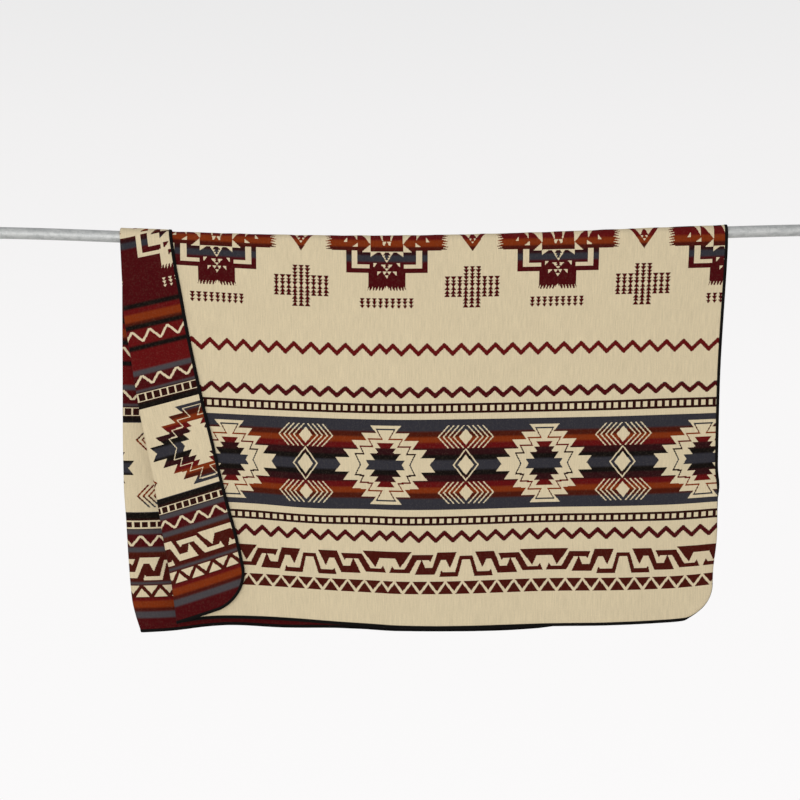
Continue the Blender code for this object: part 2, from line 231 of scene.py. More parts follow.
def placeOnDrape(across, along):
    radius = foldRadius(along)
    halfTurn = radius * math.pi / 2
    fromFold = across - foldAcross(along)
    lean = drape["frontFoldLean"] if along >= 0.0 else drape["backFoldLean"]
    outerX = drape["leftFoldX"] + follow(lean, abs(along))

    if fromFold >= halfTurn:      # the main layer
        turnEnd = foldAcross(along) + halfTurn
        pull = outerX + radius - freeMainX(turnEnd, along)
        x = freeMainX(across, along) + pull * math.exp((turnEnd - across) / drape["pullWidth"])
        lost, back = curlBack(across, along)
        return hang(x - lost, runAt(x, along), -back)

    if fromFold > 0.0:            # the turn's inner half
        angle = fromFold / radius
        x = outerX + radius * (1.0 - math.cos(angle))
        return hang(x, runAt(x, along), radius * (1.0 - math.sin(angle)))

    foldRun = runAt(outerX, along)
    edgeRun = foldRun - (drape["flapTilt"][0] + drape["flapTilt"][1] * along)
    flapLean = drape["frontFlapLean"] if edgeRun >= 0.0 else drape["backFlapLean"]
    edgeX = drape["flapEdgeX"] + follow(flapLean, abs(edgeRun))
    if fromFold > -halfTurn:      # its outer half
        angle = fromFold / radius
        x = outerX + radius * (1.0 - math.cos(angle))
        out = radius * (1.0 - math.sin(angle))
    else:                         # the turned-over strip
        share = (-fromFold - halfTurn) / (foldAcross(along) - halfTurn)
        x = outerX + radius + (edgeX - outerX - radius) * share
        hemShare = smoothStep(abs(along) / blanket["frontLength"])
        outRod, outHem = drape["flapEdgeOut"]
        edgeOut = outRod + (outHem - outRod) * hemShare
        out = 2 * radius + (edgeOut - 2 * radius) * share
        out += drape["flapBelly"] * hemShare * math.sin(math.pi * share)
    run = foldRun + (edgeRun - foldRun) * (x - outerX) / (edgeX - outerX)
    return hang(x, run, out)


# The woven pattern drifts a little against the flat cloth where the cloth is drawn or eased.
drift = {
    # behind the turned-over strip some cloth is taken up, so the pattern runs on by this much
    "takenUp": 0.062,
    "front": (0.010, 0.135),         # from and to, across from the fold
    "back": (0.110, 0.420),
    "backReach": 0.5,
    # (along, how far the rows have slipped up on the turned-over strip)
    "stripRows": ((-0.2, -0.0045), (0.0, 0.012), (0.15, 0.017), (0.30, 0.015), (0.45, 0.014),
                  (0.65, 0.012), (0.80, 0.014), (0.90, 0.018), (1.0, 0.015), (1.10, 0.011)),
    "stripReach": 0.115,             # how fast this fades into the main layer
    "mainReach": 0.12,               # from the fold, until the next rows hold in full
    # the same on the main layer, (across, slip) times (along, share), for two groups of rows
    "mainRows": (
        (((0.42, 0.008), (0.63, 0.005), (0.91, 0.0), (1.16, -0.001), (1.41, -0.004),
          (1.65, -0.0085), (1.83, -0.011)),
         ((-0.15, 0.0), (0.0, 1.0), (0.55, 1.0), (0.68, 0.6), (0.80, 0.35), (1.0, 0.0))),
        (((0.42, -0.002), (0.63, -0.003), (0.91, 0.0015), (1.16, 0.005), (1.41, 0.006),
          (1.65, 0.002), (1.83, -0.003)),
         ((0.65, 0.0), (0.80, 0.5), (0.89, 1.0), (1.0, 1.0), (1.04, 0.7), (1.13, 0.0)))),
    # small local shifts: (across, reach, along, reach, sideways, up)
    "eased": ((0.40, 0.12, 0.35, 0.35, -0.0100, 0.0), (0.95, 2.0, 0.10, 0.22, -0.0025, 0.0),
              (0.74, 0.19, 0.70, 0.17, 0.0105, 0.0), (0.68, 0.13, 0.78, 0.13, 0.0, -0.0055),
              (1.58, 0.16, 0.70, 0.18, 0.0055, 0.0), (1.35, 0.60, 0.89, 0.05, 0.0035, 0.0),
              (1.78, 0.20, 0.50, 0.08, 0.0, 0.003), (2.00, 0.62, 0.89, 0.12, 0.0135, 0.0)),
}


def patternSpot(across, along):
    # where the woven pattern's own coordinates lie for a flat spot, in metres
    fromFold = across - foldAcross(along)
    toBack = smoothStep(-along / drift["backReach"])
    start, end = [f + (b - f) * toBack for f, b in zip(drift["front"], drift["back"])]
    share = 1.0 - smoothStep((fromFold - start) / (end - start))
    slip = follow(drift["stripRows"], along) * math.exp(-max(fromFold, 0.0) / drift["stripReach"])
    inMain = smoothStep(fromFold / drift["mainReach"])
    for acrossTable, alongTable in drift["mainRows"]:
        slip += inMain * follow(acrossTable, across) * follow(alongTable, along)
    eased = 0.0
    for middle, reach, row, rowReach, sideways, up in drift["eased"]:
        near = math.exp(-((across - middle) / reach) ** 2 - ((along - row) / rowReach) ** 2)
        eased += sideways * near
        slip += up * near
    return across + eased - drift["takenUp"] * share, along + slip


# The lower right edge rolls back, so that its tape is out of sight from the front
roll = {
    "width": 0.0145,
    "angle": 4.1,
    "rows": (0.74, 0.86),            # along: starts, full
    "columns": (1.79, 1.86),         # across: starts, full
}


# Small relief on top of the drape
relief = {
    # (wavelength across, wavelength along, phase, height)
    "ripples": ((0.118, 0.90, 0.4, 0.00035), (0.071, 0.52, 2.1, 0.00022),
                (0.043, 0.31, 4.0, 0.00012)),
    "rippleSway": 0.8,
    # short upright tension folds under the rod: (across, width, height, reach down)
    "rodFolds": ((0.47, 0.016, 0.0010, 0.16), (0.62, 0.022, 0.0007, 0.22),
                 (0.83, 0.019, 0.0008, 0.13), (1.02, 0.025, 0.0006, 0.20),
                 (1.31, 0.018, 0.0008, 0.15), (1.56, 0.022, 0.0009, 0.24),
                 (1.74, 0.015, 0.0008, 0.18)),
    "rodFoldStart": 0.05,                   # below the rod's top
    "pucker": (0.034, 0.00035, 0.030),      # spacing, height, reach in from the tape
}


def reliefAt(across, along):
    height = 0.0
    for waveAcross, waveAlong, phase, size in relief["ripples"]:
        sway = relief["rippleSway"] * math.sin(2 * math.pi * along / waveAlong + phase)
        height += size * math.sin(2 * math.pi * across / waveAcross + phase + sway)
    start = relief["rodFoldStart"]
    for middle, width, size, reach in relief["rodFolds"]:
        fade = math.exp(-(along / reach) ** 2) * smoothStep(abs(along) / start)
        height += size * fade * math.exp(-((across - middle) / width) ** 2)
    spacing, size, reach = relief["pucker"]
    side = min(across, blanket["width"] - across)
    hem = min(blanket["frontLength"] - along, blanket["backLength"] + along)
    height += size * math.exp(-side / reach) * math.sin(2 * math.pi * along / spacing)
    height += size * math.exp(-hem / reach) * math.sin(2 * math.pi * across / spacing + 1.0)
    return height


def plainSpot(across, along):
    # the cloth's middle at a flat spot, and the direction out of its cream face
    step = 0.0008
    low, high = max(across - step, 0.0), min(across + step, blanket["width"])
    sideways = placeOnDrape(high, along) - placeOnDrape(low, along)
    down = placeOnDrape(across, along + step) - placeOnDrape(across, along - step)
    normal = down.cross(sideways).normalized()
    return placeOnDrape(across, along) + normal * reliefAt(across, along), normal


def spotOnCloth(across, along):
    startRow, fullRow = roll["rows"]
    startColumn, fullColumn = roll["columns"]
    share = smoothStep((along - startRow) / (fullRow - startRow))
    share *= smoothStep((across - startColumn) / (fullColumn - startColumn))
    width = roll["width"]
    rolled = width - edgeDistance(across, along)
    if share <= 0.0 or rolled <= 0.0:
        return plainSpot(across, along)
    inAcross, inAlong = inwardDirection(across, along)
    anchor, normal = plainSpot(across + inAcross * rolled, along + inAlong * rolled)
    further = placeOnDrape(across + inAcross * (rolled + 0.001), along + inAlong * (rolled + 0.001))
    nearer = placeOnDrape(across + inAcross * rolled, along + inAlong * rolled)
    outward = (nearer - further).normalized()
    bend = roll["angle"] * share / width
    angle = bend * rolled
    point = anchor + outward * math.sin(angle) / bend - normal * (1.0 - math.cos(angle)) / bend
    return point, normal * math.cos(angle) + outward * math.sin(angle)


# Flat grid of the cloth
grid = {
    "rodRows": 13,            # on each side of the rod's top
    "rodReach": 0.052,
    "frontRows": 86,
    "backRows": 86,
    "cornerRows": (0.094, 0.087, 0.080, 0.073, 0.066, 0.059, 0.052, 0.045, 0.039, 0.033, 0.027,
                   0.022, 0.017, 0.013, 0.0095, 0.0065, 0.004, 0.0025),
    "sideColumns": (0.003, 0.006, 0.009, 0.0125, 0.019, 0.028),
    "flapColumns": 13,
    "turnColumns": 12,
    "mainColumns": 138,
    "cornerPivot": 0.250,
}


def hemDistance(along):
    return min(blanket["frontLength"] - along, blanket["backLength"] + along)


def rowPlaces():
    front, back = blanket["frontLength"], -blanket["backLength"]
    reach, corner = grid["rodReach"], blanket["cornerRadius"]
    count = grid["rodRows"]
    rodRows = [reach * k / count for k in range(-count, count + 1)]
    backStart, frontEnd = back + corner, front - corner
    rows = [back + blanket["edgeInset"]]
    rows += [back + d for d in reversed(grid["cornerRows"])]
    count = grid["backRows"]
    rows += [backStart + (-reach - backStart) * k / count for k in range(count)]
    rows += rodRows
    count = grid["frontRows"]
    rows += [reach + (frontEnd - reach) * k / count for k in range(1, count + 1)]
    rows += [front - d for d in grid["cornerRows"]]
    rows.append(front - blanket["edgeInset"])
    return rows


def columnPlaces(along, inset):
    halfTurn = foldRadius(along) * math.pi / 2
    fold, width = foldAcross(along), blanket["width"]
    edge = [blanket["edgeInset"], *grid["sideColumns"]]
    flapStart, flapEnd = edge[-1], fold - halfTurn
    count = grid["flapColumns"]
    flap = [flapStart + (flapEnd - flapStart) * k / (count + 1) for k in range(1, count + 1)]
    count = grid["turnColumns"]
    turn = [flapEnd + 2 * halfTurn * k / count for k in range(count + 1)]
    mainStart, mainEnd = turn[-1], width - edge[-1]
    count = grid["mainColumns"]
    main = [mainStart + (mainEnd - mainStart) * k / (count + 1) for k in range(1, count + 1)]
    nearRight = [width - d for d in reversed(edge)]

    def drawIn(fromSide, pivot):
        # the columns beside a rounded corner squeeze into what it leaves
        if fromSide >= pivot:
            return fromSide
        return pivot - (pivot - fromSide) * (pivot - inset) / (pivot - blanket["edgeInset"])

    left = [drawIn(place, flapEnd) for place in edge + flap] + turn
    right = [width - drawIn(width - place, grid["cornerPivot"]) for place in main + nearRight]
    return left + right


def cornerInset(fromHem):
    radius, cutIn = blanket["cornerRadius"], blanket["edgeInset"]
    reach = radius - max(min(fromHem, radius), cutIn)
    return radius - math.sqrt(max((radius - cutIn) ** 2 - reach * reach, 0.0))


def edgeDistance(across, along):
    side = min(across, blanket["width"] - across)
    hem = hemDistance(along)
    radius = blanket["cornerRadius"]
    if side >= radius or hem >= radius:
        return min(side, hem)
    return radius - math.hypot(radius - side, radius - hem)


def inwardDirection(across, along):
    # from the nearest edge, for spots near the right side and its lower corner
    radius = blanket["cornerRadius"]
    overAcross = across - (blanket["width"] - radius)
    overAlong = along - (blanket["frontLength"] - radius)
    if overAlong <= 0.0:
        return -1.0, 0.0
    size = math.hypot(overAcross, overAlong)
    return -overAcross / size, -overAlong / size


def meshObject(name, points, faces, flatSpots=None, slots=None):
    mesh = bpy.data.meshes.new(name)
    mesh.from_pydata(points, [], faces)
    if flatSpots:
        layer = mesh.uv_layers.new(name="flat")
        for loop in mesh.loops:
            layer.data[loop.index].uv = flatSpots[loop.vertex_index]
    if slots:
        mesh.polygons.foreach_set("material_index", slots)
    mesh.shade_smooth()
    obj = bpy.data.objects.new(name, mesh)
    bpy.context.scene.collection.objects.link(obj)
    return obj


def makeCloth():
    rows = []
    for along in rowPlaces():
        inset = cornerInset(hemDistance(along))
        rows.append([(across, along) for across in columnPlaces(along, inset)])
    width, height = len(rows[0]), len(rows)
    spots = [spot for row in rows for spot in row]
    pressedReach, easedOver = blanket["pressedReach"]
    cream, coloured = [], []
    for across, along in spots:
        point, normal = spotOnCloth(across, along)
        full = smoothStep((edgeDistance(across, along) - pressedReach) / easedOver)
        half = (blanket["pressed"] + (blanket["thickness"] - blanket["pressed"]) * full) / 2
        cream.append(point + normal * half)
        coloured.append(point - normal * half)
    count = len(spots)
    faces, slots = [], []
    for j in range(height - 1):
        for i in range(width - 1):
            a = j * width + i
            b, c, d = a + 1, a + width + 1, a + width
            faces.append((a, d, c, b))
            faces.append((a + count, b + count, c + count, d + count))
            slots += [0, 1]
    rim = [i for i in range(width)]
    rim += [j * width + width - 1 for j in range(1, height)]
    rim += [(height - 1) * width + i for i in range(width - 2, -1, -1)]
    rim += [j * width for j in range(height - 2, 0, -1)]
    for here, there in zip(rim, rim[1:] + rim[:1]):
        faces.append((here, there, there + count, here + count))
        slots.append(1)
    flat = [patternSpot(*spot) for spot in spots]
    return meshObject("wovenCloth", cream + coloured, faces, flat + flat, slots)


# The tape folded over the edge
tape = {
    "cornerStations": 24,
    # its section: (in from the fold, out from the cloth's middle), outer side from top to bottom
    "outer": ((0.0092, 0.00128), (0.0089, 0.00168), (0.0080, 0.00190), (0.0045, 0.00205),
              (0.0016, 0.00190), (0.0004, 0.00120), (0.0, 0.0), (0.0004, -0.00120),
              (0.0016, -0.00190), (0.0045, -0.00205), (0.0080, -0.00190), (0.0089, -0.00168),
              (0.0092, -0.00128)),
    "inner": ((0.0045, -0.0010), (0.0010, -0.0006), (0.0010, 0.0006), (0.0045, 0.0010)),
}


def outlineStations():
    # spots on the outline with their inward directions and the tape's length so far
    width, front, back = blanket["width"], blanket["frontLength"], -blanket["backLength"]
    corner = blanket["cornerRadius"]
    sideRows = [along for along in rowPlaces() if hemDistance(along) > corner + 1e-6]
    stations = []

    def hemColumns(along):
        return [place for place in columnPlaces(along, corner)
                if corner + 1e-6 < place < width - corner - 1e-6]

    def addCorner(centreAcross, centreAlong, startAngle):
        for k in range(tape["cornerStations"] + 1):
            angle = startAngle + math.pi / 2 * k / tape["cornerStations"]
            inward = (-math.cos(angle), -math.sin(angle))
            spot = (centreAcross - corner * inward[0], centreAlong - corner * inward[1])
            stations.append((spot, inward))

    for along in sideRows:
        stations.append(((width, along), (-1.0, 0.0)))
    addCorner(width - corner, front - corner, 0.0)
    for across in reversed(hemColumns(front)):
        stations.append(((across, front), (0.0, -1.0)))
    addCorner(corner, front - corner, math.pi / 2)
    for along in reversed(sideRows):
        stations.append(((0.0, along), (1.0, 0.0)))
    addCorner(corner, back + corner, math.pi)
    for across in hemColumns(back):
        stations.append(((across, back), (0.0, 1.0)))
    addCorner(width - corner, back + corner, 1.5 * math.pi)
    return stations


def makeTape():
    stations = outlineStations()
    section = tape["outer"] + tape["inner"]
    size = len(section)
    points, flat, length, last = [], [], 0.0, stations[0][0]
    for (across, along), (inAcross, inAlong) in stations:
        length += math.hypot(across - last[0], along - last[1])
        last = (across, along)
        for inward, out in section:
            point, normal = spotOnCloth(across + inAcross * inward, along + inAlong * inward)
            points.append(point + normal * out)
            flat.append((length, inward))
    faces, count = [], len(stations)
    for k in range(count):
        for i in range(size):
            a, b = k * size + i, k * size + (i + 1) % size
            c, d = ((k + 1) % count) * size + (i + 1) % size, ((k + 1) % count) * size + i
            faces.append((a, b, c, d))
    return meshObject("tapeBinding", points, faces, flat)


def makeRod():
    # an open tube: outside, end rings, and a short bore closed inside
    sides, radius, length = rod["sides"], rod["radius"], rod["length"]
    inside, chamfer = radius - rod["wall"], 0.0003
    path = [(rod["bore"], 0.0), (rod["bore"], inside), (0.0, inside), (0.0, radius - chamfer),
            (chamfer, radius)]
    count = rod["stations"]
    path += [(rod["grip"] + (length - 2 * rod["grip"]) * k / count, radius)
             for k in range(count + 1)]
    path += [(length - chamfer, radius), (length, radius - chamfer), (length, inside),
             (length - rod["bore"], inside), (length - rod["bore"], 0.0)]
    points, flat = [], []
    for x, r in path:
        for i in range(sides):
            angle = 2 * math.pi * i / sides
            points.append((x, r * math.sin(angle), r * math.cos(angle) - rodDrop(x)))
            flat.append((x, angle * radius))
    faces = []
    for k in range(len(path) - 1):
        for i in range(sides):
            a, b = k * sides + i, k * sides + (i + 1) % sides
            faces.append((a, a + sides, b + sides, b))
    return meshObject("galvanisedTube", points, faces, flat)


# Materials
def linearColour(hexText):
    channels = [int(hexText[i:i + 2], 16) / 255 for i in (1, 3, 5)]
    return (*[c / 12.92 if c <= 0.04045 else ((c + 0.055) / 1.055) ** 2.4 for c in channels], 1.0)


def feedInputs(tree, node, feeds):
    # feeds are numbers, colours or sockets, in a list by order or in a dictionary by name
    for key, feed in feeds.items() if isinstance(feeds, dict) else enumerate(feeds):
        if isinstance(feed, bpy.types.NodeSocket):
            tree.links.new(feed, node.inputs[key])
        else:
            node.inputs[key].default_value = feed


def addNode(tree, kind, feeds=(), operation=None, out=0, **settings):
    node = tree.nodes.new("ShaderNode" + kind)
    node.location = (190 * (len(tree.nodes) % 24), -260 * (len(tree.nodes) // 24))
    if operation:
        node.operation = operation
    for name, value in settings.items():
        setattr(node, name, value)
    feedInputs(tree, node, feeds)
    return node.outputs[out]


def fillRamp(ramp, stops):
    while len(ramp.elements) < len(stops):
        ramp.elements.new(0.5)
    for element, (place, colour) in zip(ramp.elements, stops):
        element.position = place
        element.color = colour


# Yarn colours, as they look in soft daylight
yarns = {
    "cream": "#D3C3A2",
    "greyBlue": "#313036",
    "grey": "#454144",
    "crimson": "#5C0D0E",
    "orange": "#782E0E",
    "rust": "#461509",
    "brownMaroon": "#44110A",
    "maroon": "#45080C",
    "darkMaroon": "#2B0D10",
    "darkBrown": "#290B07",
    "black": "#110C0A",
}

# The woven pattern, in millimetres of flat cloth. v is the distance from its middle line, which
# lies 5 mm behind the rod's top; x is the distance from a motif's own line of symmetry.
pattern = {
    "axis": 914.0,
    "middle": -5.0,
    "cell": (1.6, 2.2),            # one jacquard step, across and along
    "topHalf": 247.5,              # half the repeat of the top row
    "bandHalf": 235.0,             # half the repeat of the star band and the frets
    # (v of its upper points, v of its lower points, half of one tooth's width)
    "zigzags": ((328.5, 365.5, 25.1), (453.0, 487.0, 25.1), (874.0, 910.0, 25.5)),
    "zigzagShift": 6.0,            # from the pattern's axis back to a lower point
    "zigzagLine": 16.6,            # its line, measured along v
    "zigzagBlunt": 2.2,            # its points are this much blunted
    "zigzagLoss": (1.7, 1.35),     # shares of the inset that its line and its reach lose
    # (v of its top, v of its bottom, half the rungs' spacing)
    "ladders": ((502.5, 531.5, 10.79), (831.5, 858.5, 10.86)),
    "rung": 9.0,
    "rail": 7.0,
    "band": (547.5, 811.5),
    "starMiddle": 681.0,
    "triangleRow": (1021.0, 1057.0),
    "triangleHalf": 25.7,
    "triangleShift": 6.5,
    "pointDown": (27.5, 23.2),     # height and half width of a triangle that points down
    "pointUp": (29.0, 22.4),
    "narrower": 1.9,               # the figure's edges draw in by this on the coloured face
    "stripeBlend": 3.0,            # stripes mix this far to each side of a border
}

# Sizes of the finer motifs. "half" is a half width, and "area" holds four-sided shapes, as below.
tines = {"pitch": 7.6, "start": 60.6, "root": 159.0, "length": 19.5, "end": 61.0}
fringe = {"top": 161.5, "length": 15.5, "lean": 4.5, "halfPitch": 4.4, "half": 5.0, "taper": 3.4,
          "area": ((161.4, 177, 0, 8, 53, 56),)}
# nine columns of three arrows; the first and last medallion have one less on the inner side
arrows = {"top": 198.4, "step": 9.5, "halfPitch": 8.9, "half": 7.3, "taper": 5.8,
          "area": ((198.4, 226.9, 0, 0, 80, 80),), "leftOut": ((190, 230, 905, 905, 928, 928),)}
crosses = {"middle": 167.0, "step": 9.9, "halfPitch": 9.0, "half": 1.7, "flare": 6.4,
           "area": ((0, 29.7, 0, 0, 80, 80), (29.7, 59.4, 0, 0, 27, 27))}
# beside a line's half width stands the share of the inset that it loses
starMotif = {"widest": 160.0, "span": 130.0, "trim": 0.6, "lineHalfHigh": (2.2, 0.45),
             "lineHalfWide": (3.0, 0.5), "lineEnd": 106.8}
chevronMotif = {"middle": 81.6, "half": 32.5, "slant": 30.3, "first": 33.85, "pitch": 15.03,
                "share": 0.31, "shareWider": 0.055, "field": (58.7, 24.8), "fieldWider": 0.8}
diamonds = {"small": (20.3, 23.5), "big": (39.0, 48.6), "outline": (36.6, 2.4),
            "outlineWider": 0.7, "inner": 23.9}
# how far a motif's shapes grow beyond their drawn edges, which closes the joints between them
grown = {"frets": 1.2, "solids": 0.7, "cuts": -0.4}

# (from v, yarn)
stripesTop = ((0, "black"), (5, "crimson"), (32, "orange"), (51, "brownMaroon"),
              (64, "darkMaroon"), (75, "greyBlue"), (94, "maroon"), (254, "black"),
              (268, "crimson"))
stripesUpper = ((276, "crimson"), (283, "orange"), (305, "rust"), (313, "black"),
                (327, "crimson"), (371, "black"), (385, "crimson"), (440, "grey"),
                (455, "maroon"), (495, "grey"), (501, "darkBrown"), (532, "black"))
# (from r, yarn), r measured from the star band's middle
stripesBand = ((0, "greyBlue"), (14.5, "black"), (30, "darkMaroon"), (49, "crimson"),
               (65.5, "orange"), (82, "rust"), (98, "greyBlue"))
stripesLower = ((810, "black"), (829, "darkBrown"), (859, "grey"), (873, "maroon"),
                (911, "grey"), (925, "rust"), (934, "brownMaroon"), (1012, "grey"),
                (1019, "brownMaroon"), (1058, "crimson"), (1067, "orange"),
                (1087, "brownMaroon"), (1098, "grey"), (1117, "maroon"))
# from and to of each list, in v, or in r for the band's
stripeReach = {"top": (0, 276), "upper": (276, 552), "band": (0, 140), "lower": (810, 1160)}

# Stepped outlines of the star: (from r, to r, half width at from, at to)
starOutside = ((0, 21, 129, 145), (21, 45.5, 103, 122), (45.5, 71, 78, 97.5),
               (71, 93, 54.5, 70.5), (93, 116, 27.4, 46.5))
starLine = ((0, 31.4, 70.4, 86.1), (31.4, 53.3, 61.3, 72), (53.3, 76, 36, 49.2),
            (76, 105, 10.6, 26.9))
starCore = ((0, 14.6, 47.3, 56.3), (14.6, 34.5, 30.4, 45.1), (34.5, 49.7, 20.3, 30.9),
            (49.7, 64.9, 14.2, 25.3))

# Four-sided shapes: (from v, to v, inner edge at from, at to, outer edge at from, at to)
medallionSolids = (
    (0, 61, 0, 0, 158, 158), (61, 100.6, 0, 0, 84, 84), (61, 126, 102.5, 102.5, 117, 117),
    (114.4, 126, 47, 47, 117, 117), (100.6, 114, 0, 0, 49, 49), (113, 161.6, 0, 0, 53, 53))
medallionCuts = (
    (23, 37.5, 113.6, 113.6, 113.6, 124), (0, 33, 85, 85, 104, 86), (39, 51, 82.5, 82.5, 82.5, 99),
    (0, 42, 45.6, 45.6, 83, 49), (44, 66, 47, 47, 47.5, 72), (63.5, 66.2, 0, 0, 47, 47),
    (66, 80.4, 27, 47.8, 47.8, 47.8), (66, 96, 0, 0, 19.5, 1), (0, 35, 13, 10, 25, 13),
    (35, 46.5, 0, 6, 13, 11), (96, 109.5, 26, 37, 39, 39), (100.6, 120, 0, 0, 19, 0),
    (120.5, 133, 14.6, 27, 28, 28), (120.5, 142, 0, 0, 14, 0))
medallionIslands = (
    (67, 75, 0, 0, 5, 11.5), (75, 82, 0, 0, 4.5, 7.5), (82, 88, 0, 0, 3, 4),
    (101.5, 107, 0, 0, 2.5, 7.5), (107, 112, 0, 0, 3, 6.5), (122.5, 132.5, 0, 0, 1, 8))
# the open V between two medallions, and the small tree in it
veeShapes = ((0, 66, 31, -15, 46, 0), (10, 30, 0, 0, 3, 12), (30, 38, 0, 0, 3, 7))

# The fret row, x from a trapezoid's middle; the last four are half of the hat
fretShapes = (
    (936.8, 954.2, 0, 0, 71.3, 57.7), (954.2, 980.8, 24.1, 37.0, 57.7, 37.0),
    (979.1, 987.1, 13.8, 10.3, 13.8, 19.8), (987.1, 997.0, 10.3, 6.0, 70.3, 64.5),
    (957.6, 987.1, 69.1, 51.6, 87.7, 70.3), (945.1, 957.6, 76.5, 69.1, 136.7, 130.8),
    (957.6, 963.4, 122.9, 128.1, 130.8, 128.1),
    (960.0, 982.4, 102.3, 91.6, 102.3, 111.7), (982.4, 999.8, 91.6, 83.4, 148.2, 140.1),
    (959.2, 982.4, 143.4, 135.0, 159.0, 148.2), (940.1, 959.2, 150.4, 143.4, 205.4, 196.7),
    (959.2, 981.6, 175.4, 186.5, 196.7, 186.5),
    (990.7, 995.7, 160.7, 159.4, 160.7, 165.0), (995.7, 1006.5, 159.4, 156.4, 212.7, 209.7),
    (959.2, 995.7, 213.9, 202.9, 222.6, 212.7), (950.1, 959.2, 216.6, 213.9, 240.0, 240.0))


def distanceFrom(add, value, middle):
    away = add("Math", [value, middle], "SUBTRACT")
    return add("Math", [away], "ABSOLUTE")


def repeatShare(add, value, start, pitch):
    # runs from 0 to 1 along each repeat
    repeats = add("Math", [value, 1 / pitch, -start / pitch], "MULTIPLY_ADD")
    return add("Math", [repeats], "FRACT")


def paintShapes(add, x, v, shapes, grow=0.0):
    painted = 0.0
    for fromV, toV, inFrom, inTo, outFrom, outTo in shapes:
        if inFrom == inTo == 0:      # the shape lies across its motif's line of symmetry
            inFrom, inTo = -outFrom, -outTo
        length = toV - fromV
        middle, half = (inFrom + outFrom) / 2, (outFrom - inFrom) / 2 + grow
        middleSlope = ((inTo + outTo) / 2 - middle) / length
        halfSlope = ((outTo - inTo) / 2 + grow - half) / length
        if middleSlope:
            middle = add("Math", [v, middleSlope, middle - middleSlope * fromV], "MULTIPLY_ADD")
        if halfSlope:
            half = add("Math", [v, halfSlope, half - halfSlope * fromV], "MULTIPLY_ADD")
        beside = add("Math", [x, middle, half], "COMPARE")
        within = add("Math", [v, (fromV + toV) / 2, length / 2 + grow], "COMPARE")
        painted = add("Math", [beside, within, painted], "MULTIPLY_ADD")
    return painted


def steppedWidth(add, r, levels):
    # a stepped outline's half width at r, as a share of the widest
    span, widest, edge = starMotif["span"], starMotif["widest"], 0.0005
    stops = []
    for fromR, toR, atFrom, atTo in levels:
        stops.append((fromR / span + edge, (*[atFrom / widest] * 3, 1.0)))
        stops.append((toR / span - edge, (*[atTo / widest] * 3, 1.0)))
    stops.append((levels[-1][1] / span + edge, (0.0, 0.0, 0.0, 1.0)))
    ramp = add("ValToRGB", [add("Math", [r, 1 / span], "MULTIPLY")])
    fillRamp(ramp.node.color_ramp, stops)
    return ramp


def stripeRamp(add, v, stripes, reach):
    # neighbouring stripes mix softly at their border
    start, end = stripeReach[reach]
    blend = pattern["stripeBlend"]
    stops = [(0.0, linearColour(yarns[stripes[0][1]]))]
    for place, yarn in stripes[1:]:
        stops.append(((place - blend - start) / (end - start), stops[-1][1]))
        stops.append(((place + blend - start) / (end - start), linearColour(yarns[yarn])))
    share = add("Math", [v, 1 / (end - start), -start / (end - start)], "MULTIPLY_ADD")
    ramp = add("ValToRGB", [share])
    fillRamp(ramp.node.color_ramp, stops)
    return ramp


